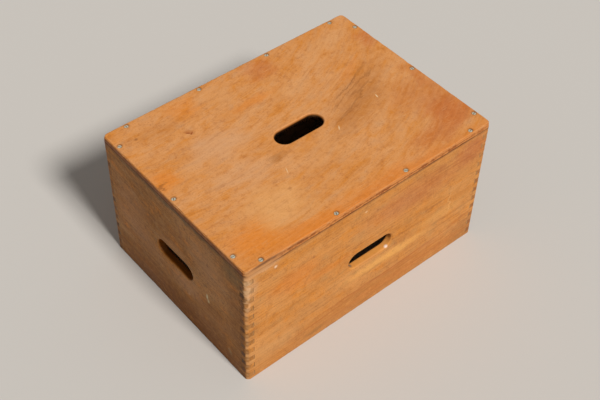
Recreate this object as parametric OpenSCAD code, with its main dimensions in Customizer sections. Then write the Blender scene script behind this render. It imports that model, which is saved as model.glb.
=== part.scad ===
// Old varnished storage crate of comb-jointed boards, standing with its plywood panel up.
// Four solid boards meet in comb joints at the corners. Slotted countersunk screws hold the
// panel on their upper edges. The crate is open below, and each side has a hand hole.
// The origin is at the middle of the footprint, on the surface that the crate stands on.
// X runs along the long side, and the front is at -Y.

/* [Crate] */
// Outside length of the crate, along X
crate_l = 490; // [360:1:700]
// Outside width of the crate, along Y
crate_w = 355; // [260:1:500]
// Height of the four boards, without the panel
board_h = 247; // [200:1:400]
// Thickness of the four boards
board_t = 14; // [10:0.5:20]
// Radius of the upright corners, seen from above
corner_r = 7; // [3:0.5:9]
// Height of one finger of the comb joints
finger_h = 10; // [6:0.5:20]

/* [Panel] */
// Thickness of the plywood panel
panel_t = 10; // [8:0.5:18]
// Radius of the rounded upper edge of the panel
panel_edge_r = 2.5; // [1:0.5:3]

/* [Hand holes] */
// Length of each hand hole, over its round ends
hole_l = 90; // [70:1:120]
// Width of each hand hole
hole_w = 32; // [24:1:45]
// Radius of the rounded edge round each hand hole
hole_edge_r = 3; // [1:0.5:3.5]
// Distance from the upper edge of the boards down to the middle of their hand holes
hole_drop = 122; // [60:1:140]

/* [Screws] */
// Diameter of a screw head
head_d = 6.6; // [5:0.1:8]
// Diameter of a screw shank
shank_d = 3.4; // [2.5:0.1:4]
// Length of a screw, from its head to its point
screw_l = 30; // [25:1:40]
// Depth of a screw head below the face of the panel
head_sink = 0.6; // [0.2:0.1:1.5]
// Width of the slot in a screw head
slot_w = 1; // [0.6:0.1:1.4]
// Depth of the slot in a screw head
slot_depth = 0.9; // [0.5:0.1:1.2]
// Room between a screw and the wood, on the radius
screw_gap = 0.1; // [0.05:0.05:0.2]
// Distance from the end of a side to its first screw
screw_inset = 37; // [25:1:60]
// Number of screws along each long side
long_screws = 4; // [2:1:6]
// Number of screws along each short side
short_screws = 3; // [2:1:5]
// Shift of the front row of screws along X
front_row_shift = -3.5; // [-6:0.5:6]
// Shift of the back row of screws along X
back_row_shift = 3; // [-6:0.5:6]
// Shift of the left row of screws along Y
left_row_shift = -1; // [-6:0.5:6]
// Shift of the right row of screws along Y
right_row_shift = -5.5; // [-6:0.5:6]

/* [Hidden] */
board_colour = "#CC8745";
end_board_colour = "#C47F40";
panel_colour = "#D78E52";
screw_colour = "#9A968C";

crate_h = board_h + panel_t;
fingers = ceil(board_h / finger_h);
hole_z = board_h - hole_drop;
// The screws run down the middle of the boards' thickness
row_inset = board_t / 2;
cone_h = (head_d - shank_d) / 2;
tip_h = 2 * shank_d;
// Room left in a pilot hole below the point of its screw
pilot_spare = 1;
pilot_depth = screw_l + head_sink - panel_t + pilot_spare;
// Turn of a screw's slot against the slot of the screw before it, in degrees
slot_turn = 67;
// How far waste runs past the faces that it opens
over = 1;
$fn = 96;

long_step = [(crate_l - 2 * screw_inset) / (long_screws - 1), 0];
short_step = [0, (crate_w - 2 * screw_inset) / (short_screws - 1)];
first_x = screw_inset - crate_l / 2;
first_y = screw_inset - crate_w / 2;
row_y = crate_w / 2 - row_inset;
row_x = crate_l / 2 - row_inset;
// Each row is [name, number of screws, [x, y] of the first one, [x, y] step to the next]
ROWS = [
    ["screw_front", long_screws, [first_x + front_row_shift, -row_y], long_step],
    ["screw_back", long_screws, [first_x + back_row_shift, row_y], long_step],
    ["screw_left", short_screws, [-row_x, first_y + left_row_shift], short_step],
    ["screw_right", short_screws, [row_x, first_y + right_row_shift], short_step]
];
// One entry for each screw: [name, [x, y]]
SCREWS = [
    for (row = ROWS)
        for (k = [0 : row[1] - 1])
            [str(row[0], "_", k + 1), row[2] + k * row[3]]
];

// Footprint of the crate, with its rounded corners
module footprint() {
    square([crate_l - 2 * corner_r, crate_w], center = true);
    square([crate_l, crate_w - 2 * corner_r], center = true);
    for (x = [-1, 1], y = [-1, 1])
        translate([x * (crate_l / 2 - corner_r), y * (crate_w / 2 - corner_r)])
            circle(corner_r);
}

// Section of the waste that leaves a convex quarter round of radius r on an edge at [0, 0],
// where the material lies at -X and -Y
module round_over(r) {
    difference() {
        translate([-r, -r])
            square(r + over);
        translate([-r, -r])
            circle(r);
        translate([-r - over, -r - over])
            square([over, 2 * over + r]);
        translate([-r - over, -r - over])
            square([2 * over + r, over]);
    }
}

// Half the section of a hand hole through a wall of thickness t that lies from Y = 0 to Y = t
module hole_section(t) {
    translate([0, -over])
        square([hole_w / 2, t + 2 * over]);
    translate([hole_w / 2, t])
        mirror([1, 0])
            round_over(hole_edge_r);
    translate([hole_w / 2, 0])
        mirror([1, 0])
            mirror([0, 1])
                round_over(hole_edge_r);
}

// Waste of a hand hole, long along X, through a wall from Z = 0 to Z = t
module hand_hole(t) {
    run = hole_l - hole_w;
    for (side = [0, 180])
        rotate([0, 0, side])
            rotate([90, 0, 90])
                translate([0, 0, -run / 2])
                    linear_extrude(run)
                        hole_section(t);
    for (side = [0, 180])
        rotate([0, 0, side])
            translate([run / 2, 0, 0])
                rotate([0, 0, -90])
                    rotate_extrude(angle = 180)
                        hole_section(t);
}

// Waste of the fingers of one corner: every second one from the top, starting at number first
module comb(first, depth_x, depth_y) {
    for (i = [first : 2 : fingers - 1]) {
        low = board_h - (i + 1) * finger_h;
        bottom = low <= 0 ? -over : low;
        top = i == 0 ? board_h + over : board_h - i * finger_h;
        translate([0, 0, bottom])
            cube([depth_x, depth_y, top - bottom]);
    }
}

// Pilot holes down into the upper edges of the boards
module pilot_holes() {
    for (s = SCREWS)
        translate([s[1][0], s[1][1], board_h - pilot_depth])
            cylinder(h = pilot_depth + over, d = shank_d + 2 * screw_gap);
}

// One long board at the front. Its top finger is the first of the comb.
module long_board() {
    difference() {
        intersection() {
            translate([-crate_l / 2, -crate_w / 2, 0])
                cube([crate_l, board_t, board_h]);
            linear_extrude(board_h)
                footprint();
        }
        for (side = [0, 1])
            mirror([side, 0, 0])
                translate([-crate_l / 2 - over, -crate_w / 2 - over, 0])
                    comb(1, board_t + over, board_t + 2 * over);
        translate([0, -crate_w / 2 + board_t, hole_z])
            rotate([90, 0, 0])
                hand_hole(board_t);
    }
}

// One end board at the left. Its fingers fill the gaps in the combs of the long boards.
module end_board() {
    difference() {
        intersection() {
            translate([-crate_l / 2, -crate_w / 2, 0])
                cube([board_t, crate_w, board_h]);
            linear_extrude(board_h)
                footprint();
        }
        for (side = [0, 1])
            mirror([0, side, 0])
                translate([-crate_l / 2 - over, -crate_w / 2 - over, 0])
                    comb(0, board_t + 2 * over, board_t + over);
        translate([-crate_l / 2, 0, hole_z])
            rotate([90, 0, 90])
                hand_hole(board_t);
    }
}

module front_board() {
    color(board_colour)
        difference() {
            long_board();
            pilot_holes();
        }
}

module back_board() {
    color(board_colour)
        difference() {
            mirror([0, 1, 0])
                long_board();
            pilot_holes();
        }
}

module left_board() {
    color(end_board_colour)
        difference() {
            end_board();
            pilot_holes();
        }
}

module right_board() {
    color(end_board_colour)
        difference() {
            mirror([1, 0, 0])
                end_board();
            pilot_holes();
        }
}

// Waste round the upper edge of the panel
module panel_rounding() {
    for (side = [0, 180])
        rotate([0, 0, side]) {
            translate([crate_l / 2, -crate_w / 2 + corner_r, crate_h])
                rotate([90, 0, 0])
                    mirror([0, 0, 1])
                        linear_extrude(crate_w - 2 * corner_r)
                            round_over(panel_edge_r);
            translate([crate_l / 2 - corner_r, crate_w / 2, crate_h])
                rotate([90, 0, 90])
                    mirror([0, 0, 1])
                        linear_extrude(crate_l - 2 * corner_r)
                            round_over(panel_edge_r);
        }
    for (x = [0, 1], y = [0, 1])
        mirror([x, 0, 0])
            mirror([0, y, 0])
                translate([crate_l / 2 - corner_r, crate_w / 2 - corner_r, crate_h])
                    rotate_extrude(angle = 90)
                        translate([corner_r, 0])
                            round_over(panel_edge_r);
}

// Countersunk hole through the panel for the screw that stands at the origin
module screw_hole() {
    head_hole_d = head_d + 2 * screw_gap;
    shank_hole_d = shank_d + 2 * screw_gap;
    translate([0, 0, board_h - over])
        cylinder(h = panel_t + 2 * over, d = shank_hole_d);
    translate([0, 0, crate_h - head_sink - cone_h])
        cylinder(h = cone_h, d1 = shank_hole_d, d2 = head_hole_d);
    translate([0, 0, crate_h - head_sink])
        cylinder(h = head_sink + over, d = head_hole_d);
}

// Plywood panel, flush with the boards all round
module top_panel() {
    color(panel_colour)
        difference() {
            translate([0, 0, board_h])
                linear_extrude(panel_t)
                    footprint();
            panel_rounding();
            translate([0, 0, board_h])
                hand_hole(panel_t);
            for (s = SCREWS)
                translate([s[1][0], s[1][1], 0])
                    screw_hole();
        }
}

// Slotted countersunk wood screw with its head up. Each one has its slot turned its own way.
module screw(turn) {
    r = shank_d / 2;
    color(screw_colour)
        translate([0, 0, crate_h - head_sink])
            difference() {
                rotate_extrude()
                    polygon([
                        [0, -screw_l],
                        [r, tip_h - screw_l],
                        [r, -cone_h],
                        [head_d / 2, 0],
                        [0, 0]
                    ]);
                rotate([0, 0, turn])
                    translate([-head_d, -slot_w / 2, -slot_depth])
                        cube([2 * head_d, slot_w, slot_depth + over]);
            }
}

front_board();
back_board();
left_board();
right_board();
top_panel();
for (k = [0 : len(SCREWS) - 1])
    translate(SCREWS[k][1])
            screw(slot_turn * k);
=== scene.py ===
"""Old varnished storage crate: comb-jointed beech boards under a plywood panel with slotted screws.

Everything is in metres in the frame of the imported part: X runs along the long side, the front is at
-Y, and the crate stands on Z = 0 with its panel up.
"""

import math
import random

import bpy
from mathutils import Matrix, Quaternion, Vector, noise


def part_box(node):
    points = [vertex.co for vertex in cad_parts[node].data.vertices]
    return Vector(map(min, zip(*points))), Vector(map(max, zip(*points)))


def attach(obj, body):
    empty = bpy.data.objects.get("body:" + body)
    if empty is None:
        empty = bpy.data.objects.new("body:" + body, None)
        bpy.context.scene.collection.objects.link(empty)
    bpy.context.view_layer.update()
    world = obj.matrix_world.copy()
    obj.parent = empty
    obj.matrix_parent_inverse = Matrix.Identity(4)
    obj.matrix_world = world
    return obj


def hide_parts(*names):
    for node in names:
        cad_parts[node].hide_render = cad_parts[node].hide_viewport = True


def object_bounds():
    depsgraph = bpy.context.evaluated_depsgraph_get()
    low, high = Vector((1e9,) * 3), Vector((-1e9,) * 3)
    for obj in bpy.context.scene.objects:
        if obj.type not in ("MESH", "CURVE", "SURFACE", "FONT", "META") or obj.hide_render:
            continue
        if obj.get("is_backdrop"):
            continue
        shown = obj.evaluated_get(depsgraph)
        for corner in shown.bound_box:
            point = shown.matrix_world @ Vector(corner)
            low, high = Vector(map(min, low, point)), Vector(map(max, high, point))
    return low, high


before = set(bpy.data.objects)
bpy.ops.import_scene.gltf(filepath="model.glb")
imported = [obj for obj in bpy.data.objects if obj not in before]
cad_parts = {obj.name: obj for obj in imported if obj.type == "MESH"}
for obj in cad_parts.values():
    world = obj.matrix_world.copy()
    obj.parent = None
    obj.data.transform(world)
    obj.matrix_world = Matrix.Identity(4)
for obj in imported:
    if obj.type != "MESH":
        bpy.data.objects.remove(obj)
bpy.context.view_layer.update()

MM = 0.001

# Sizes of the crate, as in the part's source
LENGTH = 490 * MM
WIDTH = 355 * MM
BOARD_HEIGHT = 247 * MM
BOARD = 14 * MM
HEIGHT = 257 * MM
CORNER_RADIUS = 7 * MM
FINGER = 10 * MM
FINGERS = 25
PANEL_ARRIS = 2.5 * MM
HOLE_RUN = 58 * MM
HOLE_RADIUS = 16 * MM
HOLE_ARRIS = 3 * MM
HOLE_HEIGHT = 125 * MM
HEAD_RADIUS = 3.3 * MM
SHANK_RADIUS = 1.7 * MM
SCREW_LENGTH = 30 * MM
HEAD_SINK = 0.6 * MM
SCREW_GAP = 0.1 * MM
SLOT_WIDTH = 1 * MM
SLOT_DEPTH = 0.9 * MM
# Turn of a screw's slot against the slot of the screw before it, in degrees
SLOT_TURN = 67

HALF_L = LENGTH / 2
HALF_W = WIDTH / 2
# How far a cutting tool runs past the face that it opens
PAST = 1 * MM
# Small arris that a plane and years of handling leave on every sharp edge
ARRIS = 0.5 * MM
# Spacing of the cuts that let a worn edge wander
EDGE_STEP = 4 * MM
# Places nearer to each other than this are the same
SNAP = 0.01 * MM
# A rounded edge lies within this distance of the edge that it was cut on
EDGE_BAND = 0.7 * MM
# Half of a box round a hand hole, along and across it
HOLE_BOX = (50 * MM, 20 * MM)
HOLE_SIDES = 64
ROD_SIDES = 32

dice = random.Random(1957)


# Modelling


def take(piece):
    """Deselects everything, then selects the piece and makes it the active object."""
    bpy.ops.object.select_all(action="DESELECT")
    piece.select_set(True)
    bpy.context.view_layer.objects.active = piece


def settle(piece):
    """Puts the piece's place, turn and scale into its mesh."""
    take(piece)
    bpy.ops.object.transform_apply(location=True, rotation=True, scale=True)


def block(name, low, high):
    """Adds a block between two corners."""
    low, high = Vector(low), Vector(high)
    bpy.ops.mesh.primitive_cube_add(size=1, location=(low + high) / 2)
    piece = bpy.context.object
    piece.name = piece.data.name = name
    piece.scale = high - low
    settle(piece)
    return piece


def pick(piece, kind, wanted):
    """Enters edit mode with only those edges or faces selected that wanted() is true for."""
    take(piece)
    bpy.ops.object.mode_set(mode="EDIT")
    bpy.ops.mesh.select_mode(type=kind)
    bpy.ops.mesh.select_all(action="DESELECT")
    bpy.ops.object.mode_set(mode="OBJECT")
    points = piece.data.vertices
    parts = {"VERT": piece.data.vertices, "EDGE": piece.data.edges, "FACE": piece.data.polygons}[kind]
    for part in parts:
        if kind == "VERT":
            part.select = wanted(part.co)
        elif kind == "EDGE":
            part.select = wanted(points[part.vertices[0]].co, points[part.vertices[1]].co)
        else:
            part.select = wanted(part.center, part.normal)
    bpy.ops.object.mode_set(mode="EDIT")


def edit_all(piece):
    """Enters edit mode with everything selected."""
    take(piece)
    bpy.ops.object.mode_set(mode="EDIT")
    bpy.ops.mesh.select_all(action="SELECT")


def leave_edit():
    bpy.ops.object.mode_set(mode="OBJECT")


def round_edges(piece, radius, segments, wanted):
    """Rounds the edges that wanted() picks by their two ends."""
    pick(piece, "EDGE", wanted)
    bpy.ops.mesh.bevel(
        offset=radius, offset_type="OFFSET", segments=segments, profile=0.5, affect="EDGES", loop_slide=False
    )
    leave_edit()


def apply(piece, modifier):
    take(piece)
    bpy.ops.object.modifier_apply(modifier=modifier.name)


def saw_out(piece, tool):
    """Cuts the tool out of the piece and throws the tool away."""
    modifier = piece.modifiers.new("saw", "BOOLEAN")
    modifier.operation = "DIFFERENCE"
    modifier.solver = "EXACT"
    modifier.object = tool
    apply(piece, modifier)
    bpy.data.objects.remove(tool)


def copy_of(piece, name):
    """A copy with its own mesh."""
    twin = piece.copy()
    twin.data = piece.data.copy()
    twin.name = twin.data.name = name
    bpy.context.scene.collection.objects.link(twin)
    return twin


def hole_tool(centre, turn, depth):
    """A round-ended cutter for a hand hole: a drum whose two halves are pulled apart."""
    bpy.ops.mesh.primitive_cylinder_add(
        vertices=HOLE_SIDES, radius=HOLE_RADIUS, depth=depth, rotation=(0, 0, math.pi / HOLE_SIDES)
    )
    tool = bpy.context.object
    settle(tool)
    for side in (-1, 1):
        pick(tool, "VERT", lambda co: co.x * side > 0)
        bpy.ops.transform.translate(value=(side * HOLE_RUN / 2, 0, 0))
        leave_edit()
    tool.rotation_euler = [math.radians(a) for a in turn]
    tool.location = centre
    settle(tool)
    return tool


def comb_tool(first, at, size):
    """Cutters for every second finger of one corner, from the top, starting at number first."""
    tops = [BOARD_HEIGHT - k * FINGER for k in range(first, FINGERS, 2)]
    tools = []
    for top in tops:
        low = top - FINGER
        high = top + PAST if top >= BOARD_HEIGHT else top
        low = -PAST if low <= 0 else low
        tools.append(block("comb cutter", (at[0], at[1], low), (at[0] + size[0], at[1] + size[1], high)))
    bpy.ops.object.select_all(action="DESELECT")
    for tool in tools:
        tool.select_set(True)
    bpy.context.view_layer.objects.active = tools[0]
    bpy.ops.object.join()
    return bpy.context.object


def slice_grid(piece, cuts):
    """Cuts the faces along planes, so that worn edges can wander. cuts are (axis, places)."""
    take(piece)
    bpy.ops.object.mode_set(mode="EDIT")
    bpy.ops.mesh.select_mode(type="FACE")
    for axis, places in cuts:
        normal = Vector((0, 0, 0))
        normal[axis] = 1
        for place in places:
            bpy.ops.mesh.select_all(action="SELECT")
            bpy.ops.mesh.bisect(plane_co=normal * place, plane_no=normal, threshold=SNAP)
    leave_edit()


def steps(low, high, step):
    """Evenly spaced places from low to high."""
    count = max(1, round((high - low) / step))
    return [low + (high - low) * k / count for k in range(count + 1)]


def off_axis(normal):
    """0 on a flat face of the crate and 1 in the middle of a rounded edge."""
    return min(1, (1 - max(map(abs, normal))) / 0.2)


def wear(piece, nicks, seam, hole, depth):
    """Wears the rounded edges down a little and unevenly, and puts nicks in them.

    It leaves three attributes for the varnish: rubbed, where it is gone, one for the joints, where dirt and painted
    shade sit, and throat, the wall of the hand hole. seam(co) says how much a place is a joint between two pieces,
    hole(co) gives its distances along and across from the middle of the hand hole, and depth is the most that an
    edge loses.
    """
    mesh = piece.data
    for name in ("rubbed", "grime_and_shade", "throat"):
        mesh.attributes.new(name, "FLOAT", "POINT")
    rubbed, grime_and_shade, throat = [mesh.attributes[name].data for name in ("rubbed", "grime_and_shade", "throat")]
    edge = [off_axis(v.normal) for v in mesh.vertices]
    inward = [-v.normal for v in mesh.vertices]
    for v, e, way in zip(mesh.vertices, edge, inward):
        shut = seam(v.co)
        run, rise = hole(v.co)
        reach = math.hypot(max(0, abs(run) - HOLE_RUN / 2), rise)
        inside = min(1, max(0, (HOLE_RADIUS + HOLE_ARRIS - reach) / HOLE_ARRIS))
        throat[v.index].value = inside
        rubbed[v.index].value = e * (1 - shut) * (1 - 0.7 * (inside > 0))
        grime_and_shade[v.index].value = e * shut
        broad = 0.5 + 0.5 * noise.noise(v.co / (26 * MM))
        fine = 0.5 + 0.5 * noise.noise(v.co / (7 * MM))
        v.co += way * depth * e * (1 - 0.6 * shut) * (0.6 * broad + 0.4 * fine)
    for at, reach, deep in nicks:
        at = Vector(at)
        for v, e, way in zip(mesh.vertices, edge, inward):
            gap = (v.co - at).length / reach
            if gap < 1:
                fall = (1 - gap * gap) ** 2
                v.co += way * deep * fall * (0.25 + 0.75 * e)
                rubbed[v.index].value = max(rubbed[v.index].value, fall * e)


def smooth(piece):
    """Smooth shading that keeps the flat faces flat."""
    edit_all(piece)
    bpy.ops.mesh.remove_doubles(threshold=0.005 * MM)
    bpy.ops.mesh.normals_make_consistent(inside=False)
    leave_edit()
    bpy.ops.object.shade_smooth_by_angle(angle=math.radians(40))
    modifier = piece.modifiers.new("weighted", "WEIGHTED_NORMAL")
    modifier.keep_sharp = True
    modifier.weight = 80
    apply(piece, modifier)


def break_edges(piece, width, segments, angle):
    """Takes the sharpness off every edge that is sharper than the angle, in degrees."""
    modifier = piece.modifiers.new("arris", "BEVEL")
    modifier.width = width
    modifier.segments = segments
    modifier.limit_method = "ANGLE"
    modifier.angle_limit = math.radians(angle)
    apply(piece, modifier)


def same(a, b):
    return abs(a - b) < SNAP


def upright_edge(a, b):
    return same(a.x, b.x) and same(a.y, b.y)


def comb_board(name, long_side, side):
    """One comb-jointed board. side is -1 at the front or left, and 1 at the back or right."""
    # Modelled at -Y for a long side and at -X for an end, then mirrored over where it belongs
    if long_side:
        piece = block(name, (-HALF_L, -HALF_W, 0), (HALF_L, -HALF_W + BOARD, BOARD_HEIGHT))
        starts = [(-HALF_L - PAST, -HALF_W - PAST), (HALF_L - BOARD, -HALF_W - PAST)]
        size = (BOARD + PAST, BOARD + 2 * PAST)
        first, turn = 1, (90, 0, 0)
        centre = (0, -HALF_W + BOARD / 2, HOLE_HEIGHT)
    else:
        piece = block(name, (-HALF_L, -HALF_W, 0), (-HALF_L + BOARD, HALF_W, BOARD_HEIGHT))
        starts = [(-HALF_L - PAST, -HALF_W - PAST), (-HALF_L - PAST, HALF_W - BOARD)]
        size = (BOARD + 2 * PAST, BOARD + PAST)
        first, turn = 0, (90, 0, 90)
        centre = (-HALF_L + BOARD / 2, 0, HOLE_HEIGHT)
    for start in starts:
        saw_out(piece, comb_tool(first, start, size))
    saw_out(piece, hole_tool(centre, turn, BOARD + 2 * PAST))
    along, across = (0, 1) if long_side else (1, 0)
    outer = -HALF_W if long_side else -HALF_L
    inner = outer + BOARD

    def at_corner(a, b):
        return upright_edge(a, b) and same(abs(a.x), HALF_L) and same(abs(a.y), HALF_W)

    def at_rim(a, b):
        near = all(abs(p[along]) < HOLE_BOX[0] and abs(p.z - HOLE_HEIGHT) < HOLE_BOX[1] for p in (a, b))
        return near and any(same(a[across], face) and same(b[across], face) for face in (outer, inner))

    round_edges(piece, CORNER_RADIUS, 8, at_corner)
    round_edges(piece, HOLE_ARRIS, 5, at_rim)
    break_edges(piece, ARRIS, 3, 50)
    half = HALF_L if long_side else HALF_W
    ends = [half - 9 * MM, half - BOARD - 3 * MM]
    run = steps(-(half - BOARD - 7 * MM), half - BOARD - 7 * MM, EDGE_STEP)
    rows = [BOARD_HEIGHT - k * FINGER - d for k in range(FINGERS) for d in (3.4 * MM, 6.7 * MM)]
    rows = [z for z in rows if z > 1.5 * MM]
    middle = [outer + 4 * MM, inner - 4 * MM]
    slice_grid(piece, [(2, rows), (along, [-e for e in ends] + run + ends), (across, middle)])
    if side > 0:
        piece.scale = (1, -1, 1) if long_side else (-1, 1, 1)
        settle(piece)
        edit_all(piece)
        bpy.ops.mesh.normals_make_consistent(inside=False)
        leave_edit()
        outer, inner = -outer, -inner

    def seam(co):
        """1 where another piece's edge meets this one, and 0 on an open edge."""
        in_comb = abs(co.x) > HALF_L - BOARD - 1 * MM and abs(co.y) > HALF_W - BOARD - 1 * MM
        level = (BOARD_HEIGHT - co.z) / FINGER
        on_level = abs(level - round(level)) * FINGER < EDGE_BAND and co.z > 2 * MM
        at_root = abs(abs(co[along]) - (half - BOARD)) < EDGE_BAND
        at_panel = co.z > BOARD_HEIGHT - EDGE_BAND
        return 1.0 if at_panel or (in_comb and at_root) else 0.35 if in_comb and on_level else 0.0

    nicks = []
    for _ in range(16):
        place = [0, 0, 0]
        place[along] = dice.uniform(-half + 8 * MM, half - 8 * MM)
        place[across] = outer
        nicks.append((place, dice.uniform(4, 8) * MM, dice.uniform(0.4, 1.1) * MM))
    for _ in range(10):
        place = [0, 0, dice.uniform(4 * MM, BOARD_HEIGHT - 4 * MM)]
        place[along] = dice.choice((-1, 1)) * (half - 2 * MM)
        place[across] = outer * (1 - 2 * MM / abs(outer))
        nicks.append((place, dice.uniform(4, 7) * MM, dice.uniform(0.3, 0.8) * MM))
    wear(piece, nicks, seam, lambda co: (co[along], co.z - HOLE_HEIGHT), 0.35 * MM)
    smooth(piece)
    return piece


def plywood_lid(name, screws):
    """The plywood panel, with its hand hole and its countersunk screw holes."""
    piece = block(name, (-HALF_L, -HALF_W, BOARD_HEIGHT), (HALF_L, HALF_W, HEIGHT))
    round_edges(piece, CORNER_RADIUS, 8, upright_edge)
    round_edges(piece, PANEL_ARRIS, 5, lambda a, b: min(a.z, b.z) > HEIGHT - SNAP)
    round_edges(piece, ARRIS, 3, lambda a, b: max(a.z, b.z) < BOARD_HEIGHT + SNAP)
    saw_out(piece, hole_tool((0, 0, (BOARD_HEIGHT + HEIGHT) / 2), (0, 0, 0), HEIGHT - BOARD_HEIGHT + 2 * PAST))

    def at_rim(a, b):
        near = all(abs(p.x) < HOLE_BOX[0] and abs(p.y) < HOLE_BOX[1] for p in (a, b))
        return near and same(a.z, b.z)

    round_edges(piece, HOLE_ARRIS, 5, at_rim)
    columns = steps(-HALF_L + 9 * MM, HALF_L - 9 * MM, EDGE_STEP)
    rows = steps(-HALF_W + 9 * MM, HALF_W - 9 * MM, EDGE_STEP)
    rim = 4.5 * MM
    plies = [BOARD_HEIGHT + 3.3 * MM, BOARD_HEIGHT + 6.7 * MM]
    slice_grid(piece, [
        (2, plies),
        (0, [rim - HALF_L] + columns + [HALF_L - rim]),
        (1, [rim - HALF_W] + rows + [HALF_W - rim]),
    ])
    for x, y in screws:
        saw_out(piece, screw_hole_tool(x, y))
    nicks = []
    for _ in range(46):
        if dice.random() < 0.58:
            place = (dice.uniform(-HALF_L, HALF_L), dice.choice((-1, 1)) * HALF_W, HEIGHT)
        else:
            place = (dice.choice((-1, 1)) * HALF_L, dice.uniform(-HALF_W, HALF_W), HEIGHT)
        nicks.append((place, dice.uniform(4, 9) * MM, dice.uniform(0.4, 1.1) * MM))
    for x in (-1, 1):
        for y in (-1, 1):
            nicks.append(((x * (HALF_L - 2 * MM), y * (HALF_W - 2 * MM), HEIGHT), 11 * MM, 0.9 * MM))
    wear(
        piece, nicks, lambda co: 1.0 if co.z < BOARD_HEIGHT + EDGE_BAND else 0.0, lambda co: (co.x, co.y), 0.45 * MM
    )
    smooth(piece)
    return piece


def screw_hole_tool(x, y):
    """A cutter for one countersunk hole: a rod whose upper end is opened out to a cone."""
    rod = SHANK_RADIUS + SCREW_GAP
    head = HEAD_RADIUS + SCREW_GAP
    floor = HEIGHT - HEAD_SINK - (HEAD_RADIUS - SHANK_RADIUS)
    bottom = BOARD_HEIGHT - PAST
    bpy.ops.mesh.primitive_cylinder_add(
        vertices=ROD_SIDES, radius=rod, depth=floor - bottom, location=(x, y, (floor + bottom) / 2)
    )
    tool = bpy.context.object
    settle(tool)
    middle = Vector((x, y, floor))
    pick(tool, "FACE", lambda centre, normal: normal.z > 0.9)
    bpy.ops.mesh.extrude_region_move(TRANSFORM_OT_translate={"value": (0, 0, HEAD_RADIUS - SHANK_RADIUS)})
    bpy.ops.transform.resize(value=(head / rod, head / rod, 1), center_override=middle)
    bpy.ops.mesh.extrude_region_move(TRANSFORM_OT_translate={"value": (0, 0, HEAD_SINK + PAST)})
    leave_edit()
    return tool


def countersunk_screw(name):
    """A slotted countersunk wood screw that stands at the origin with its head up."""
    cone = HEAD_RADIUS - SHANK_RADIUS
    tip = 4 * SHANK_RADIUS
    top = HEIGHT - HEAD_SINK
    bpy.ops.mesh.primitive_cylinder_add(
        vertices=ROD_SIDES,
        radius=SHANK_RADIUS,
        depth=SCREW_LENGTH - cone - tip,
        location=(0, 0, top - cone - (SCREW_LENGTH - cone - tip) / 2),
    )
    piece = bpy.context.object
    piece.name = piece.data.name = name
    settle(piece)
    pick(piece, "FACE", lambda centre, normal: normal.z > 0.9)
    bpy.ops.mesh.extrude_region_move(TRANSFORM_OT_translate={"value": (0, 0, cone)})
    wide = HEAD_RADIUS / SHANK_RADIUS
    bpy.ops.transform.resize(value=(wide, wide, 1), center_override=(0, 0, top))
    leave_edit()
    pick(piece, "FACE", lambda centre, normal: normal.z < -0.9)
    bpy.ops.mesh.extrude_region_move(TRANSFORM_OT_translate={"value": (0, 0, -tip)})
    bpy.ops.transform.resize(value=(0.12, 0.12, 1), center_override=(0, 0, top - SCREW_LENGTH))
    leave_edit()
    low = (-2 * HEAD_RADIUS, -SLOT_WIDTH / 2, top - SLOT_DEPTH)
    saw_out(piece, block("slot cutter", low, (2 * HEAD_RADIUS, SLOT_WIDTH / 2, top + PAST)))
    break_edges(piece, 0.12 * MM, 2, 30)
    bpy.ops.object.shade_smooth_by_angle(angle=math.radians(40))
    return piece


# Materials


# Broad areas lie under the fine patterns, and again above them with this share
AREAS_AGAIN = 0.4
# Between these heights the finger ends and their dirt go from how they are at the foot to how they are above
FOOT = 100 * MM
UPPER = 200 * MM
BARE_ROUGHNESS = 0.8


def colour(code):
    """sRGB hex to a linear colour."""
    channels = [int(code[k:k + 2], 16) / 255 for k in (1, 3, 5)]
    return [c / 12.92 if c <= 0.04045 else ((c + 0.055) / 1.055) ** 2.4 for c in channels] + [1]


def add(tree, kind, links=None, **settings):
    """Adds a node, sets it up, and feeds its sockets with values, hex codes, sockets or other nodes."""
    node = tree.nodes.new(kind)
    for key, value in settings.items():
        setattr(node, key, value)
    for key, value in (links or {}).items():
        if isinstance(value, bpy.types.Node):
            colours = value.bl_idname == "ShaderNodeMix" and value.data_type == "RGBA"
            value = value.outputs[2 if colours else 0]
        if isinstance(value, bpy.types.NodeSocket):
            tree.links.new(value, node.inputs[key])
        else:
            node.inputs[key].default_value = colour(value) if isinstance(value, str) else value
    return node


def tint(tree, base, tone, where, low=0.0, high=1.0, share=1.0):
    """Lays a tone over a base colour, more and more of it as the pattern goes from low to high."""
    mask = add(
        tree, "ShaderNodeMapRange", {0: where, 1: low, 2: high, 3: 0, 4: share}, interpolation_type="SMOOTHSTEP"
    )
    return add(tree, "ShaderNodeMix", {0: mask, 6: base, 7: tone}, data_type="RGBA")


def new_material(name):
    """A material with its node tree and its shader."""
    material = bpy.data.materials.new(name)
    material.use_nodes = True
    return material, material.node_tree, material.node_tree.nodes["Principled BSDF"]


def tints(tree, base, rows):
    """Lays one tint after the other. Each row is tone, pattern, low, high and share."""
    for row in rows:
        base = tint(tree, base, *row)
    return base


def lay(tree, base, at, ragged, marks, strength=1.0):
    """Lays marks over a base colour. ragged is the place that edges follow unless a mark is clean."""
    for tone, place, reach, share, turn, clean in marks:
        local = add(
            tree, "ShaderNodeMapping",
            {"Vector": at if clean else ragged, "Location": place, "Rotation": [math.radians(a) for a in turn],
             "Scale": reach},
            vector_type="TEXTURE",
        )
        ball = add(tree, "ShaderNodeTexGradient", {0: local}, gradient_type="SPHERICAL")
        base = tint(tree, base, tone, ball.outputs["Fac"], 0.0, 0.8, share * strength)
    return base


def mottle_and_grit(tree, at):
    """Mottle of 9 mm and finer in old varnish, and grit of 2.5 mm."""
    mottle = add(tree, "ShaderNodeTexNoise", {"Vector": at, "Scale": 110, "Detail": 4, "Roughness": 0.72})
    return mottle, add(tree, "ShaderNodeTexNoise", {"Vector": at, "Scale": 400, "Detail": 1})


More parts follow.
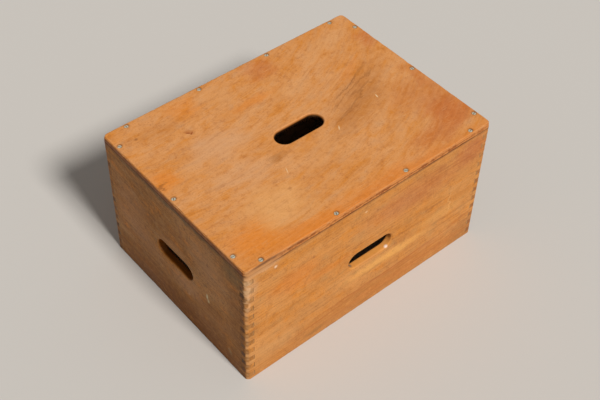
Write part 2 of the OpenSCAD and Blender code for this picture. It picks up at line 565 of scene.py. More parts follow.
def sway(tree, pattern, amount, place):
    """Moves a place by a noise, by half of amount at most each way."""
    push = add(tree, "ShaderNodeVectorMath", {0: pattern.outputs["Color"], 1: (0.5, 0.5, 0.5)}, operation="SUBTRACT")
    return add(tree, "ShaderNodeVectorMath", {0: push, 1: amount, 2: place}, operation="MULTIPLY_ADD")


def worn_edges(tree, wood, mottle, pale, least, seam_dark_share):
    """Rubs edges to a little pale wood in patches, and darkens joints with dirt and painted shade. Returns also what
    is gone.
    """
    rubbed = add(tree, "ShaderNodeAttribute", attribute_name="rubbed")
    patchy = add(tree, "ShaderNodeMapRange", {0: mottle, 1: 0.4, 2: 0.62, 3: least, 4: least + 0.4})
    gone = add(tree, "ShaderNodeMath", {0: rubbed.outputs["Fac"], 1: patchy}, operation="MULTIPLY")
    wood = add(tree, "ShaderNodeMix", {0: gone, 6: wood, 7: pale}, data_type="RGBA")
    # Dirt and painted shade in the joints
    grime_and_shade = add(tree, "ShaderNodeAttribute", attribute_name="grime_and_shade")
    dirt_and_shade = add(tree, "ShaderNodeMapRange", {0: mottle, 1: 0.3, 2: 0.55, 3: 0.35, 4: 1.0})
    dirt_and_shade = add(tree, "ShaderNodeMath", {0: grime_and_shade.outputs["Fac"], 1: dirt_and_shade}, operation="MULTIPLY")
    dirt_and_shade = add(tree, "ShaderNodeMath", {0: dirt_and_shade, 1: seam_dark_share}, operation="MULTIPLY")
    return add(tree, "ShaderNodeMix", {0: dirt_and_shade, 6: wood, 7: "#3A2212"}, data_type="RGBA"), gone


def varnish(tree, shader, wood, at, patterns, gone, bare, roughness, shine, dent_scale):
    """Finishes old varnished wood: a low sheen, duller where the varnish is worn and dull where there is none.

    The grain telegraphs through it by a few hundredths of a millimetre, over shallow dents.
    """
    clouds, streaks, mottle = patterns
    tree.links.new(wood.outputs[2], shader.inputs["Base Color"])
    gloss = add(tree, "ShaderNodeMapRange", {0: clouds, 1: 0.3, 2: 0.7, 3: roughness[0], 4: roughness[1]})
    worn = add(tree, "ShaderNodeMath", {0: gone, 1: bare}, operation="MAXIMUM")
    gloss = add(tree, "ShaderNodeMix", {0: worn, 2: gloss, 3: BARE_ROUGHNESS}, data_type="FLOAT")
    tree.links.new(gloss.outputs[0], shader.inputs["Roughness"])
    shader.inputs["Specular IOR Level"].default_value = shine
    dents = add(tree, "ShaderNodeTexNoise", {"Vector": at, "Scale": dent_scale, "Detail": 2})
    relief = add(tree, "ShaderNodeMath", {0: streaks, 1: 0.35, 2: dents}, operation="MULTIPLY_ADD")
    relief = add(tree, "ShaderNodeMath", {0: mottle, 1: 0.30, 2: relief}, operation="MULTIPLY_ADD")
    bump = add(tree, "ShaderNodeBump", {"Height": relief, "Distance": 0.25 * MM, "Strength": 1})
    tree.links.new(bump.outputs[0], shader.inputs["Normal"])


def old_varnished_beech(side, long_side, pith, tones, ends, pool, patina, areas=(), marks=(), scuffs=()):
    """Beech boards under an old amber varnish.

    Planed beech has soft growth bands, short dark flecks and hardly any pores. The varnish has yellowed to
    amber, lies unevenly and has gone mottled. It stayed thick and ochre in the hand holes, and the end grain
    drank it up and turned brown. The inside was never varnished.

    pith is where the middle of the tree would be, tones are light, middle, deep and late wood, ends are the
    tone of the end grain with its share at the foot and at the top, pool is the tone in the hand hole, patina
    says how strongly the varnish is mottled, areas are broad changes of tone under the grain, marks are small
    ones on top of it, and scuffs go over the dirt as well.
    """
    material, tree, shader = new_material(side + " board, amber-varnished beech")
    # The grain of an end board is turned to lie along X, like that of a long board
    turn = 0 if long_side else math.radians(90)
    inside_axis, wall = ("Y", HALF_W) if long_side else ("X", HALF_L)
    spot = add(tree, "ShaderNodeTexCoord")
    at = spot.outputs["Object"]
    grain = add(tree, "ShaderNodeMapping", {"Vector": at, "Rotation": (0, 0, turn), "Location": pith})
    # Slow wander of everything that follows the grain, 16 mm at most
    slow = add(tree, "ShaderNodeMapping", {"Vector": grain, "Scale": (3, 14, 14)})
    wander = add(tree, "ShaderNodeTexNoise", {"Vector": slow, "Scale": 1, "Detail": 3})
    bent = sway(tree, wander, (0.016, 0.016, 0.016), grain)
    # Growth rings 5.5 mm apart, saw-toothed, because late wood ends abruptly
    ring_place = add(tree, "ShaderNodeMapping", {"Vector": bent, "Scale": (0.12, 1, 1)})
    rings = add(
        tree, "ShaderNodeTexWave",
        {"Vector": ring_place, "Scale": 2 * math.pi / (20 * 5.5 * MM), "Distortion": 5, "Detail": 3,
         "Detail Scale": 0.25, "Detail Roughness": 0.6},
        wave_type="RINGS", rings_direction="X", wave_profile="SAW",
    )
    # Everything lengthwise is drawn 24 times longer than wide: bands 28 mm wide, streaks 3.5 mm wide, and
    # fibres 1.3 mm wide. Real fibres are finer than a pixel, so these are as coarse as it takes to show.
    lengthwise = add(tree, "ShaderNodeMapping", {"Vector": bent, "Scale": (1, 24, 24)})
    bands, streaks, fibres = [
        add(tree, "ShaderNodeTexNoise", {"Vector": lengthwise, "Scale": scale, "Detail": detail, "Roughness": rough})
        for scale, detail, rough in ((1.5, 2, 0.5), (12, 3, 0.6), (32, 2, 0.6))
    ]
    # Beech flecks: dashes 4 mm long and 0.9 mm wide
    fleck_place = add(tree, "ShaderNodeMapping", {"Vector": grain, "Scale": (240, 1100, 1100)})
    flecks = add(tree, "ShaderNodeTexNoise", {"Vector": fleck_place, "Scale": 1, "Detail": 1})
    # Varnish that lies thicker in clouds 70 mm wide
    cloud_place = add(tree, "ShaderNodeMapping", {"Vector": bent, "Scale": (0.55, 1, 1)})
    clouds = add(
        tree, "ShaderNodeTexNoise",
        {"Vector": cloud_place, "Scale": 15, "Detail": 3, "Roughness": 0.55, "Distortion": 0.4},
    )
    # Tinge of the varnish, more orange or more grey in patches of 25 mm
    tinge = add(tree, "ShaderNodeTexNoise", {"Vector": cloud_place, "Scale": 62, "Detail": 2, "Roughness": 0.6})
    mottle, grit = mottle_and_grit(tree, at)
    # Fine scratches 0.9 mm wide and 40 mm long, steep across the grain
    tilt = add(
        tree, "ShaderNodeMapping",
        {"Vector": grain, "Rotation": (math.radians(8), math.radians(63), math.radians(5)), "Scale": (24, 900, 900)},
    )
    scratches = add(tree, "ShaderNodeTexNoise", {"Vector": tilt, "Scale": 1, "Detail": 1})

    # Marks of use have edges that follow the wood
    near = add(tree, "ShaderNodeTexNoise", {"Vector": cloud_place, "Scale": 45, "Detail": 4, "Roughness": 0.6})
    ragged = sway(tree, near, (0.030, 0.030, 0.022), at)

    light, middle, deep, late = tones
    wood = tints(tree, light, [
        (middle, clouds, 0.32, 0.66, 1.0),
        (deep, bands, 0.45, 0.72, 0.65),
        ("#D4801E", tinge, 0.5, 0.8, 0.55 * patina),
        ("#B4844E", tinge, 0.5, 0.2, 0.50 * patina),
    ])
    wood = lay(tree, wood, at, ragged, areas)
    wood = tints(tree, wood, [
        (late, rings, 0.45, 1.0, 0.12),
        (late, streaks, 0.5, 0.78, 0.30 * patina),
        (light, streaks, 0.5, 0.25, 0.40 * patina),
        (late, mottle, 0.5, 0.75, 0.34 * patina),
        (light, mottle, 0.5, 0.25, 0.55 * patina),
        (late, grit, 0.5, 0.85, 0.42 * patina),
        (late, fibres, 0.5, 0.8, 0.22),
        (late, flecks, 0.62, 0.72, 0.12),
    ])
    wood = lay(tree, wood, at, ragged, areas, AREAS_AGAIN)
    wood = tint(tree, wood, light, scratches, 0.66, 0.76, 0.45 * patina)

    # End grain, where the surface cuts across the fibres. Each finger drank its own share of varnish.
    along = add(
        tree, "ShaderNodeVectorRotate", {"Vector": spot.outputs["Normal"], "Angle": turn}, rotation_type="Z_AXIS"
    )
    across = add(tree, "ShaderNodeSeparateXYZ", {0: along})
    steep = add(tree, "ShaderNodeMath", {0: across.outputs["X"]}, operation="ABSOLUTE")
    place = add(tree, "ShaderNodeSeparateXYZ", {0: at})
    height = place.outputs["Z"]
    finger = add(
        tree, "ShaderNodeMath", {0: height, 1: -1 / FINGER, 2: BOARD_HEIGHT / FINGER}, operation="MULTIPLY_ADD"
    )
    finger = add(tree, "ShaderNodeMath", {0: finger}, operation="FLOOR")
    own = add(tree, "ShaderNodeTexWhiteNoise", {"W": finger}, noise_dimensions="1D")
    end_tone, foot_share, top_share = ends
    end_wood = tint(tree, end_tone, wood, own, 0, 1, 0.4)
    end_wood = tint(tree, end_wood, late, mottle, 0.42, 0.6, 0.25)
    cut = add(
        tree, "ShaderNodeMapRange", {0: height, 1: FOOT, 2: UPPER, 3: foot_share, 4: top_share},
        interpolation_type="SMOOTHSTEP",
    )
    steep = add(tree, "ShaderNodeMapRange", {0: steep, 1: 0.75, 2: 0.97}, interpolation_type="SMOOTHSTEP")
    cut = add(tree, "ShaderNodeMath", {0: cut, 1: steep}, operation="MULTIPLY")
    wood = add(tree, "ShaderNodeMix", {0: cut, 6: wood, 7: end_wood}, data_type="RGBA")

    # Inside, the beech is bare and has greyed with dust
    depth = add(tree, "ShaderNodeMath", {0: place.outputs[inside_axis]}, operation="ABSOLUTE")
    bare = add(
        tree, "ShaderNodeMapRange", {0: depth, 1: wall - BOARD + 0.3 * MM, 2: wall - BOARD + 1.5 * MM, 3: 1, 4: 0}
    )
    bare_wood = tints(tree, "#BE9B70", [
        ("#9A774E", clouds, 0.3, 0.7, 1.0),
        ("#7A5836", streaks, 0.5, 0.75, 0.5),
        ("#86674A", mottle, 0.5, 0.75, 0.5),
    ])
    wood = add(tree, "ShaderNodeMix", {0: bare, 6: wood, 7: bare_wood}, data_type="RGBA")

    # The varnish pooled thick and ochre in the hand hole
    throat = add(tree, "ShaderNodeAttribute", attribute_name="throat")
    pooled = tint(tree, pool, deep, mottle, 0.4, 0.7, 0.35)
    wood = tint(tree, wood, deep, throat.outputs["Fac"], 0.0, 0.4, 0.3)
    wood = tint(tree, wood, pooled, throat.outputs["Fac"], 0.45, 1.0)

    wood = lay(tree, wood, at, ragged, marks)

    fade = add(tree, "ShaderNodeMapRange", {0: height, 1: FOOT, 2: UPPER, 3: 1.0, 4: 0.35 + 0.65 * top_share})
    wood, gone = worn_edges(tree, wood, mottle, pale="#DFAE7C", least=0.05, seam_dark_share=fade)
    # Dirt in a band under the panel, and dirt with painted shade in the joint line itself, more in some places than
    # in others; a painted contact shadow along the foot
    seam_dirt_and_shade = add(tree, "ShaderNodeMapRange", {0: tinge, 1: 0.38, 2: 0.6, 3: 0.2, 4: 0.75})
    wood = tints(tree, wood, [
        ("#7A4A26", height, BOARD_HEIGHT - 6 * MM, BOARD_HEIGHT - 1 * MM, 0.45),
        # Dirt and painted shade in the joint line under the panel
        ("#4A2412", height, BOARD_HEIGHT - 1.8 * MM, BOARD_HEIGHT - 0.3 * MM, seam_dirt_and_shade),
        # Painted contact shadow along the foot
        ("#3A2414", height, 3 * MM, 0.3 * MM, 0.5 * (1 - top_share) * patina),
    ])
    wood = lay(tree, wood, at, ragged, scuffs)
    varnish(
        tree, shader, wood, at, (clouds, streaks, mottle), gone, bare, roughness=(0.44, 0.58), shine=0.14,
        dent_scale=60,
    )
    return material


def old_varnished_plywood(name, areas, marks, scuffs):
    """Three-ply birch panel under the same amber varnish.

    The face ply is peeled from a turning log, so its growth rings show as wide flame-like contours instead
    of lines. Here the grain runs straight on the left and swings up by about 25 degrees towards the right.
    The cut plies drank varnish, so the outer edges are brown; the walls of the hand hole are painted almost black a
    little way down, as shade.
    """
    material, tree, shader = new_material(name)
    spot = add(tree, "ShaderNodeTexCoord")
    at = spot.outputs["Object"]
    place = add(tree, "ShaderNodeSeparateXYZ", {0: at})
    height = place.outputs["Z"]
    # The grain follows circles about a point far behind the crate, 720 mm in radius
    centre_x, centre_y, radius = -0.19, 0.72, 0.72
    right = add(tree, "ShaderNodeMath", {0: place.outputs["X"], 1: centre_x}, operation="SUBTRACT")
    ahead = add(tree, "ShaderNodeMath", {0: centre_y, 1: place.outputs["Y"]}, operation="SUBTRACT")
    turn = add(tree, "ShaderNodeMath", {0: right, 1: ahead}, operation="ARCTAN2")
    arm = add(tree, "ShaderNodeCombineXYZ", {0: right, 1: ahead})
    ring = add(tree, "ShaderNodeVectorMath", {0: arm}, operation="LENGTH")
    run = add(tree, "ShaderNodeMath", {0: turn, 1: radius}, operation="MULTIPLY")
    grain = add(tree, "ShaderNodeCombineXYZ", {0: run, 1: ring.outputs["Value"], 2: height})

    slow = add(tree, "ShaderNodeMapping", {"Vector": grain, "Scale": (5, 12, 12)})
    wander = add(tree, "ShaderNodeTexNoise", {"Vector": slow, "Scale": 1, "Detail": 3, "Roughness": 0.55})
    bent = sway(tree, wander, (0.03, 0.022, 0), grain)
    # Contours of the peeled log, about 9 mm apart where they are close
    swell_place = add(tree, "ShaderNodeMapping", {"Vector": bent, "Scale": (2.6, 9, 9)})
    swell = add(tree, "ShaderNodeTexNoise", {"Vector": swell_place, "Scale": 1, "Detail": 2, "Roughness": 0.45})
    contours = add(tree, "ShaderNodeMath", {0: swell, 1: 26}, operation="MULTIPLY")
    contours = add(tree, "ShaderNodeMath", {0: contours}, operation="FRACT")
    # Streaks 3 mm wide and fibres 1.3 mm wide, coarser than real ones, all 20 times longer than wide
    lengthwise = add(tree, "ShaderNodeMapping", {"Vector": bent, "Scale": (1, 20, 20)})
    streaks, fibres = [
        add(tree, "ShaderNodeTexNoise", {"Vector": lengthwise, "Scale": scale, "Detail": detail, "Roughness": 0.6})
        for scale, detail in ((16, 3), (38, 2))
    ]
    # Varnish in clouds 90 mm long and 35 mm wide, with patches of 40 by 14 mm
    cloud_place = add(tree, "ShaderNodeMapping", {"Vector": bent, "Scale": (0.4, 1, 1)})
    clouds = add(tree, "ShaderNodeTexNoise", {"Vector": cloud_place, "Scale": 28, "Detail": 2, "Roughness": 0.5})
    blotches = add(
        tree, "ShaderNodeTexNoise",
        {"Vector": cloud_place, "Scale": 70, "Detail": 3, "Roughness": 0.6, "Distortion": 0.3},
    )
    mottle, grit = mottle_and_grit(tree, at)
    # Marks of use have edges that follow the wood
    near = add(tree, "ShaderNodeTexNoise", {"Vector": cloud_place, "Scale": 50, "Detail": 4, "Roughness": 0.6})
    ragged = sway(tree, near, (0.060, 0.045, 0), at)

    light, middle, deep, late = "#DD9B60", "#D88F4C", "#D58432", "#A05A2A"
    wood = tints(tree, light, [
        (middle, clouds, 0.3, 0.7, 1.0),
        (deep, blotches, 0.45, 0.75, 0.85),
        ("#CC986A", blotches, 0.5, 0.22, 0.60),
    ])
    wood = lay(tree, wood, at, ragged, areas)
    wood = tints(tree, wood, [
        (late, contours, 0.3, 1.0, 0.10),
        (late, streaks, 0.5, 0.78, 0.26),
        (light, streaks, 0.5, 0.25, 0.30),
        (late, mottle, 0.5, 0.75, 0.40),
        (light, mottle, 0.5, 0.25, 0.55),
        (late, grit, 0.5, 0.85, 0.42),
        (late, fibres, 0.5, 0.8, 0.20),
    ])
    wood = lay(tree, wood, at, ragged, areas, AREAS_AGAIN)
    # Fine scratches 0.9 mm wide and 35 mm long, from things dragged over the panel in three directions
    for angle, offset in ((58, 0.3), (118, 1.1), (15, 2.4)):
        tilt = add(
            tree, "ShaderNodeMapping",
            {"Vector": at, "Rotation": (0, 0, math.radians(-angle)), "Location": (offset, 0, 0),
             "Scale": (28, 850, 850)},
        )
        scratches = add(tree, "ShaderNodeTexNoise", {"Vector": tilt, "Scale": 1, "Detail": 1})
        wood = tint(tree, wood, "#E6B27C", scratches, 0.70, 0.78, 0.35)

    wood = lay(tree, wood, at, ragged, marks)

    # Cut edges of the plies: the outer ones run along X and the middle one along Y
    level = add(tree, "ShaderNodeMath", {0: height, 1: (BOARD_HEIGHT + HEIGHT) / 2}, operation="SUBTRACT")
    level = add(tree, "ShaderNodeMath", {0: level}, operation="ABSOLUTE")
    core = add(tree, "ShaderNodeMapRange", {0: level, 1: 1.4 * MM, 2: 1.9 * MM, 3: 1, 4: 0})
    facing = add(tree, "ShaderNodeSeparateXYZ", {0: spot.outputs["Normal"]})
    sideways = add(tree, "ShaderNodeMath", {0: facing.outputs["X"]}, operation="ABSOLUTE")
    endways = add(tree, "ShaderNodeMath", {0: facing.outputs["Y"]}, operation="ABSOLUTE")
    edge = add(tree, "ShaderNodeMath", {0: sideways, 1: endways}, operation="MAXIMUM")
    cut_wood = tint(tree, "#CA8040", "#98521E", mottle, 0.4, 0.62)
    steep = add(tree, "ShaderNodeMix", {0: core, 2: sideways, 3: endways}, data_type="FLOAT")
    # Glue line under the face ply, wavy and broken
    wavy = add(tree, "ShaderNodeTexNoise", {"Vector": at, "Scale": 42, "Detail": 4, "Roughness": 0.7})
    glue = add(tree, "ShaderNodeMath", {0: wavy, 1: 5 * MM, 2: height}, operation="MULTIPLY_ADD")
    glue = add(tree, "ShaderNodeMath", {0: glue, 1: HEIGHT - 2.0 * MM}, operation="SUBTRACT")
    glue = add(tree, "ShaderNodeMath", {0: glue}, operation="ABSOLUTE")
    broken = add(tree, "ShaderNodeMapRange", {0: blotches, 1: 0.4, 2: 0.6, 3: 0.05, 4: 0.8})
    # Painted shade: the walls of the hand hole are painted almost black a little way down
    throat = add(tree, "ShaderNodeAttribute", attribute_name="throat")
    hole_wall_shade = add(tree, "ShaderNodeMapRange", {0: height, 1: HEIGHT - 1 * MM, 2: HEIGHT - 5.5 * MM})
    hole_wall_shade = add(tree, "ShaderNodeMath", {0: hole_wall_shade, 1: throat.outputs["Fac"]}, operation="MULTIPLY")
    wood = tints(tree, wood, [
        (cut_wood, edge, 0.55, 0.98, 0.95),
        ("#7C4618", steep, 0.5, 0.95, 0.18),
        ("#7E440C", sideways, 0.6, 0.95, 0.6),
        ("#5A2A14", glue, 1.0 * MM, 0.2 * MM, broken),
        ("#AE6A30", throat.outputs["Fac"], 0.3, 1.0, 0.85),
        ("#231006", hole_wall_shade, 0.0, 0.95),
    ])

    # The underside is bare and greyed
    bare = add(
        tree, "ShaderNodeMapRange", {0: height, 1: BOARD_HEIGHT + 0.2 * MM, 2: BOARD_HEIGHT + 0.8 * MM, 3: 1, 4: 0}
    )
    bare_wood = tints(tree, "#C4A177", [
        ("#9C7850", clouds, 0.3, 0.7, 1.0),
        ("#84603C", contours, 0.3, 1.0, 0.35),
        ("#86674A", mottle, 0.5, 0.75, 0.5),
    ])
    wood = add(tree, "ShaderNodeMix", {0: bare, 6: wood, 7: bare_wood}, data_type="RGBA")

    rubbed = add(tree, "ShaderNodeAttribute", attribute_name="rubbed")
    wood = tint(tree, wood, "#8E5220", rubbed.outputs["Fac"], 0.1, 0.9, 0.5)
    wood, gone = worn_edges(tree, wood, mottle, pale="#E2AC74", least=0.0, seam_dark_share=1.0)
    # Dirt and painted shade in the joint along the panel's lower edge, in some places more than in others
    seam_dirt_and_shade = add(tree, "ShaderNodeMapRange", {0: wavy, 1: 0.42, 2: 0.58, 3: 0.9, 4: 0.1})
    seam_dirt_and_shade = add(tree, "ShaderNodeMath", {0: seam_dirt_and_shade, 1: edge}, operation="MULTIPLY")
    wood = tint(tree, wood, "#4A2412", height, BOARD_HEIGHT + 2.4 * MM, BOARD_HEIGHT + 0.3 * MM, seam_dirt_and_shade)
    wood = lay(tree, wood, at, ragged, scuffs)
    varnish(
        tree, shader, wood, at, (clouds, streaks, mottle), gone, bare, roughness=(0.42, 0.56), shine=0.15,
        dent_scale=50,
    )
    return material


def dull_zinc(name):
    """Zinc-plated steel screws, chalky and pale with age, with brown dirt in their slots."""
    material, tree, shader = new_material(name)
    spot = add(tree, "ShaderNodeTexCoord")
    bloom = add(tree, "ShaderNodeTexNoise", {"Vector": spot.outputs["Object"], "Scale": 900, "Detail": 3})
    metal = tint(tree, "#D6D0BA", "#B0A994", bloom, 0.35, 0.65)
    place = add(tree, "ShaderNodeSeparateXYZ", {0: spot.outputs["Object"]})
    face = HEIGHT - HEAD_SINK
    metal = tint(tree, metal, "#4B3524", place.outputs["Z"], face - 0.1 * MM, face - 0.8 * MM, 0.85)
    tree.links.new(metal.outputs[2], shader.inputs["Base Color"])
    shader.inputs["Metallic"].default_value = 0.25
    gloss = add(tree, "ShaderNodeMapRange", {0: bloom, 1: 0.3, 2: 0.7, 3: 0.52, 4: 0.68})
    tree.links.new(gloss.outputs[0], shader.inputs["Roughness"])
    bump = add(tree, "ShaderNodeBump", {"Height": bloom, "Distance": 0.05 * MM})
    tree.links.new(bump.outputs[0], shader.inputs["Normal"])
    return material


# Marks of use


# How far a mark reaches into the wood, in millimetres
DEEP = 20


def mark(tone, place, reach, share, turn=(0, 0, 0), clean=False):
    """A soft ellipsoid of one tone, reach millimetres wide each way. A clean one has no ragged edge."""
    return tone, place, [r * MM for r in reach], share, turn, clean


def on_top(tone, x, y, run, wide, share, turn=0, clean=False):
    """A mark on the panel, x mm right of its left edge and y mm forward of its back edge."""
    return mark(tone, (x * MM - HALF_L, HALF_W - y * MM, HEIGHT), (run, wide, DEEP), share, (0, 0, turn), clean)


def on_front(tone, x, down, run, high, share, turn=0, clean=False, deep=DEEP):
    """A mark on the front, x mm right of its left corner and so far below the top."""
    return mark(tone, (x * MM - HALF_L, -HALF_W, HEIGHT - down * MM), (run, deep, high), share, (0, turn, 0), clean)


def on_left(tone, y, down, run, high, share, clean=False):
    """A mark on the left, y mm forward of its back corner and so far below the top."""
    return mark(tone, (-HALF_L, HALF_W - y * MM, HEIGHT - down * MM), (DEEP, run, high), share, clean=clean)


ORANGE = "#E2842C"
RUST = "#C0632A"
TAN = "#DCA068"
BROWN = "#B0703C"
SCRATCH = "#F0D2A4"
DIRT = "#4A2814"

# Broad areas where the varnish is more orange, more tan or browner
PANEL_AREAS = [on_top(*row) for row in (
    (ORANGE, 52, 318, 70, 46, 0.75),
    (ORANGE, 120, 345, 80, 22, 0.6),
    (ORANGE, 16, 140, 34, 34, 0.6),
    (ORANGE, 130, 30, 40, 34, 0.35),
    (ORANGE, 230, 84, 60, 14, 0.4),
    (ORANGE, 250, 338, 150, 22, 0.35),
    ("#DA7E30", 250, 356, 340, 22, 0.65),
    (ORANGE, 400, 120, 60, 16, 0.3, 24),
    (RUST, 285, 30, 46, 32, 0.38),
    (RUST, 474, 74, 24, 30, 0.45),
    (RUST, 462, 288, 54, 56, 0.6),
    (RUST, 405, 318, 80, 34, 0.4),
    (RUST, 478, 200, 20, 50, 0.3),
    ("#E6A868", 118, 285, 74, 56, 0.6),
    ("#D9A67A", 125, 130, 80, 44, 0.5),
    ("#D9A67A", 120, 200, 60, 40, 0.35),
    (TAN, 195, 40, 44, 34, 0.4),
    (TAN, 410, 48, 90, 24, 0.45, 18),
    (TAN, 300, 100, 60, 24, 0.3),
    (TAN, 245, 240, 70, 40, 0.3),
    (BROWN, 345, 205, 110, 34, 0.35, 18),
    (BROWN, 380, 165, 110, 44, 0.30, 20),
    ("#C4743A", 445, 235, 80, 60, 0.40),
    (BROWN, 60, 46, 60, 30, 0.2),
    ("#9A602F", 180, 205, 26, 9, 0.35),
)]

PANEL_MARKS = [
    # Dark streaks that slant with the grain, right of the hand hole
    *[on_top("#8F5528", *row) for row in (
        (372, 148, 66, 3.6, 0.55, 22),
        (398, 154, 44, 3.0, 0.45, 25),
        (352, 168, 56, 3.4, 0.45, 20),
        (388, 172, 40, 2.6, 0.4, 24),
        (345, 188, 56, 4.0, 0.4, 22),
        (325, 201, 46, 3.0, 0.35, 18),
        (418, 132, 30, 2.4, 0.3, 26),
    )],
    # A knot, small stains and bright scratches
    on_top("#8E4418", 105, 79, 6.5, 2.2, 0.9, turn=-40, clean=True),
    on_top("#8E4418", 109, 83, 5.5, 2.0, 0.9, turn=35, clean=True),
    on_top("#A85A24", 107, 81, 13, 8, 0.5),
    on_top("#8A5228", 35, 41, 4.5, 4, 0.6, clean=True),
    on_top("#9A5A2C", 152, 268, 5, 4, 0.4, clean=True),
    on_top("#7A4A26", 6, 150, 5, 9, 0.5),
    on_top(SCRATCH, 172, 237, 9, 0.8, 0.7, turn=68, clean=True),
    on_top(SCRATCH, 294.5, 215.5, 7, 1.5, 0.7, turn=55, clean=True),
    on_top(SCRATCH, 391, 197, 6, 1.6, 0.8, turn=78, clean=True),
]

# Near the corner, the panel's edge is rubbed to the tone of the board below it, and its arris is dirty
PANEL_SCUFFS = [
    mark("#C48C58", (-HALF_L + 22 * MM, -HALF_W, 250.5 * MM), (66, 5, 9), 0.75, clean=True),
    mark(DIRT, (-HALF_L + 36 * MM, -HALF_W, HEIGHT - 1.4 * MM), (44, 4, 3.4), 0.72, clean=True),
    mark(DIRT, (-HALF_L + 92 * MM, -HALF_W, HEIGHT - 2.6 * MM), (34, 4, 2.6), 0.4, clean=True),
]

FRONT_AREAS = [
    on_front("#CE7626", 90, 78, 70, 34, 0.55),
    on_front("#CE7626", 150, 105, 90, 12, 0.4),
    on_front("#B4683A", 330, 60, 150, 44, 0.45),
    on_front("#B0643A", 455, 40, 60, 40, 0.6),
    on_front("#E2A456", 285, 170, 120, 14, 0.75),
    on_front("#DA9C52", 400, 150, 90, 14, 0.4),
    on_front("#C8945C", 40, 212, 90, 34, 0.5),
    on_front("#B07A44", 110, 180, 110, 22, 0.3),
    on_front("#CFA880", 10, 34, 17, 50, 0.3, deep=24),
    on_front("#D9B088", 34, 15, 44, 8, 0.35, deep=24),
    # The lower part is browner and duller
    on_front("#B4763C", 245, 262, 340, 84, 0.75, deep=24),
    on_front("#A46A34", 472, 238, 60, 46, 0.6, deep=24),
    on_front("#C0702E", 330, 236, 230, 16, 0.4),
]

FRONT_MARKS = [
    # Late wood along the lower third
    on_front("#A85A26", 210, 210, 90, 3.2, 0.5),
    on_front("#A45422", 335, 209, 150, 2.6, 0.6, turn=-2, clean=True),
    on_front("#A85A26", 360, 221, 120, 2.0, 0.5, turn=-1, clean=True),
    on_front("#A45422", 150, 222, 110, 2.4, 0.5, turn=-3, clean=True),
    on_front("#B0632B", 330, 214, 180, 6, 0.35),
    on_front("#A85A26", 450, 200, 60, 3, 0.4, turn=-7),
    on_front("#8E6434", 134, 241, 34, 5, 0.45),
    # Stains, a pale streak and small chips in the varnish
    on_front("#94542A", 126, 57, 6, 5, 0.6),
    on_front("#9C5C30", 387, 38, 13, 10, 0.4),
    on_front("#8A5A30", 463, 98, 10, 3, 0.35),
    on_front("#E4B070", 420, 132, 2.4, 40, 0.35),
    on_front("#B8805A", 54.5, 24.5, 6.5, 6.5, 0.5, clean=True),
    on_front("#ECCBA6", 54.5, 24.5, 4, 4, 0.8, clean=True),
    on_front("#EAC69A", 227, 29, 4, 3, 0.5, clean=True),
    # Wear on the lower lip of the hand hole, with a pale chip of bare wood that also carries a painted highlight,
    # and a grey knock at its other end
    on_front("#B4743C", 245, 148.5, 46, 5, 0.55, clean=True, deep=5),
    mark("#F4E0D2", (35.2 * MM, -HALF_W + 2.4 * MM, 110.4 * MM), (4.6, 4, 4), 0.9, clean=True),
    mark("#7E624E", (-36 * MM, -HALF_W + 8 * MM, 110.5 * MM), (5, 5, 6), 0.9, clean=True),
    # Painted shade high on the right end wall of the hand hole
    mark("#6A3C14", (43 * MM, -HALF_W + 8 * MM, 130 * MM), (6, 8, 12), 0.7, clean=True),
]

FRONT_SCUFFS = [
    mark("#C48C58", (-HALF_L + 20 * MM, -HALF_W, 246 * MM), (56, 6, 7), 0.7, clean=True),
]

LEFT_AREAS = [on_left(*row) for row in (
    ("#BC8858", 265, 62, 70, 60, 0.45),
    ("#B57E50", 60, 118, 70, 66, 0.4),
    ("#B98250", 175, 115, 60, 34, 0.45),
    ("#B8845A", 205, 165, 60, 34, 0.35),
    ("#925814", 275, 175, 60, 44, 0.5),
    ("#96602E", 95, 160, 60, 34, 0.4),
    ("#8E5616", 338, 130, 40, 130, 0.55),
    ("#64502E", 190, 13, 230, 9, 0.75),
    ("#6E5834", 330, 30, 40, 26, 0.55),
    # Damp and dirt have darkened the foot
    ("#804800", 175, 264, 300, 100, 1.0),
)]

LEFT_MARKS = [
    on_left("#8A5630", 199, 56, 5, 34, 0.45),
    on_left("#5E2E20", 262, 67, 4, 4, 0.5),
    on_left("#E0DEB4", 259.5, 143, 3.2, 9, 0.6, clean=True),
    on_left("#D8D6AC", 262.5, 151, 3.6, 6, 0.5, clean=True),
    on_left("#C2BC90", 312, 224, 6, 8, 0.2),
    on_left("#CE9C6A", 207, 184, 6, 6, 0.5),
    # Worn fingers of the near corner, where this board's ends show at the front
    mark("#CDA67C", (-HALF_L + 5 * MM, -HALF_W, 222 * MM), (13, 12, 56), 0.28),
]

# The near corner is rubbed pale in patches, partly wear and partly a painted highlight, and its shaded side gets a
# dark band of painted shade
for marks in (FRONT_MARKS, LEFT_MARKS):
    # Rubbed pale wear along the corner, partly a painted highlight
    marks.append(mark("#E2B88E", (-HALF_L + 3 * MM, -HALF_W + 1.5 * MM, 205 * MM), (5, 5, 70), 0.4))
    # Painted shade on the shaded side of the corner
    marks.append(mark("#36220F", (-HALF_L, -HALF_W + 6.5 * MM, 200 * MM), (4, 4.5, 80), 0.55))


# The pieces

screw_rows = (("front", 4), ("back", 4), ("left", 3), ("right", 3))
screw_order = [f"{row}_{number + 1}" for row, count in screw_rows for number in range(count)]
screw_places = {}
for tail in screw_order:
    low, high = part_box("screw_" + tail)
    middle = (low + high) / 2
    screw_places[tail] = (middle.x, middle.y)

# Dirt has gathered round each screw head, most of it on the right
for x, y in screw_places.values():
    PANEL_MARKS.append(mark(DIRT, (x + 0.9 * MM, y + 0.5 * MM, HEIGHT), (6.4, 6.0, 8), 0.85, clean=True))

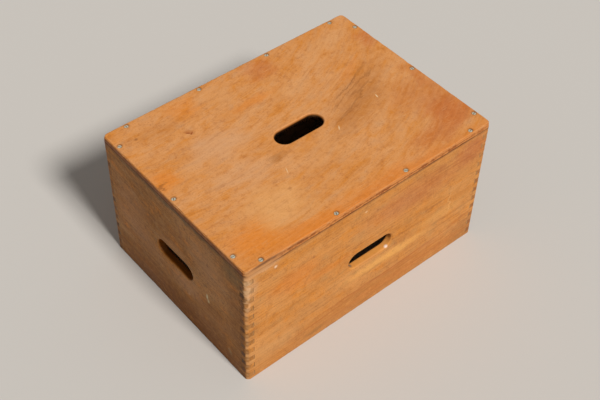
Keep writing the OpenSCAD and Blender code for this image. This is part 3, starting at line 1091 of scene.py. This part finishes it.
front_beech = old_varnished_beech(
    "front", True, (0.31, 0.215, -0.10), ("#D1904E", "#C78442", "#C0782C", "#86481A"), ("#4A2E14", 0.9, 0.9),
    "#DC9448", 1.35, FRONT_AREAS, FRONT_MARKS, FRONT_SCUFFS)
back_beech = old_varnished_beech(
    "back", True, (1.27, -0.145, -0.17), ("#D09050", "#C68342", "#BE7630", "#8A4C1E"), ("#4E3218", 0.9, 0.8),
    "#D08C3C", 1.25)
# The left board's tones and pooled varnish are darker than the front's partly as painted shade, since that side
# stands in shade
left_beech = old_varnished_beech(
    "left", False, (0.62, 0.29, -0.06), ("#B97D3C", "#A66D2E", "#945A18", "#52290A"), ("#C8894C", 0.45, 0.25),
    "#8A4C12", 1.7, LEFT_AREAS, LEFT_MARKS)
right_beech = old_varnished_beech(
    "right", False, (2.1, -0.20, -0.14), ("#C48C52", "#BA7C43", "#B07032", "#7C461C"), ("#8A4E22", 0.85, 0.12),
    "#C08034", 1.3)
plywood = old_varnished_plywood("panel, amber-varnished birch plywood", PANEL_AREAS, PANEL_MARKS, PANEL_SCUFFS)
zinc = dull_zinc("screws, dull zinc-plated steel")


def finish_piece(piece, material, node):
    """Gives a finished piece its material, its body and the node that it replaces."""
    piece.data.materials.clear()
    piece.data.materials.append(material)
    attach(piece, "root")
    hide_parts(node)


finish_piece(comb_board("front_beech_board", True, -1), front_beech, "front_board")
finish_piece(comb_board("back_beech_board", True, 1), back_beech, "back_board")
finish_piece(comb_board("left_beech_board", False, -1), left_beech, "left_board")
finish_piece(comb_board("right_beech_board", False, 1), right_beech, "right_board")
finish_piece(plywood_lid("plywood_lid", list(screw_places.values())), plywood, "top_panel")

pattern_screw = countersunk_screw("pattern_screw")
for number, tail in enumerate(screw_order):
    one = copy_of(pattern_screw, "slotted_screw_" + tail)
    one.rotation_euler = (0, 0, math.radians(SLOT_TURN * number))
    one.location = (*screw_places[tail], 0)
    settle(one)
    finish_piece(one, zinc, "screw_" + tail)
bpy.data.objects.remove(pattern_screw)


# Floor, light and camera

# The floor is wide enough to fill every low view
FLOOR_WIDTH = 60
# The photograph's light comes from straight in front of the long side, through a big window. The sun's
# height and width are in degrees.
SUN_POWER = 1.05 * math.pi
SUN_HEIGHT = 47
SUN_WIDTH = 12
ROOM_LIGHT = 0.22

bpy.ops.mesh.primitive_plane_add(size=FLOOR_WIDTH)
floor = bpy.context.object
floor.name = "floor"
# Plain pale concrete, dull and without a pattern, so that only the crate draws the eye
concrete, _, floor_shader = new_material("floor, plain pale concrete")
floor_shader.inputs["Base Color"].default_value = colour("#C9C3BB")
floor_shader.inputs["Roughness"].default_value = 0.9
floor.data.materials.append(concrete)
floor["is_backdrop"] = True

scene = bpy.context.scene
scene.view_settings.view_transform = "Standard"

lamp = bpy.data.objects.new("window light", bpy.data.lights.new("window light", "SUN"))
lamp.data.energy = SUN_POWER
lamp.data.angle = math.radians(SUN_WIDTH)
lamp.rotation_euler = (math.radians(90 - SUN_HEIGHT), 0, 0)
scene.collection.objects.link(lamp)

world = bpy.data.worlds.new("room light")
world.use_nodes = True
sky = world.node_tree.nodes["Background"]
sky.inputs["Color"].default_value = (1, 1, 1, 1)
sky.inputs["Strength"].default_value = ROOM_LIGHT
scene.world = world

# The camera as solved from the crate's edges in the photograph
EYE = Vector((-0.81444, -0.93614, 1.41124))
AIM = Vector((-0.01686, -0.02672, 0.1285))
ROLL = math.radians(1.70)
camera = bpy.data.objects.new("camera", bpy.data.cameras.new("camera"))
camera.data.lens = 65.54
camera.data.sensor_width = 36
camera.location = EYE
camera.rotation_mode = "QUATERNION"
camera.rotation_quaternion = (AIM - EYE).to_track_quat("-Z", "Y") @ Quaternion((0, 0, 1), ROLL)
scene.collection.objects.link(camera)
scene.camera = camera

low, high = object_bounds()
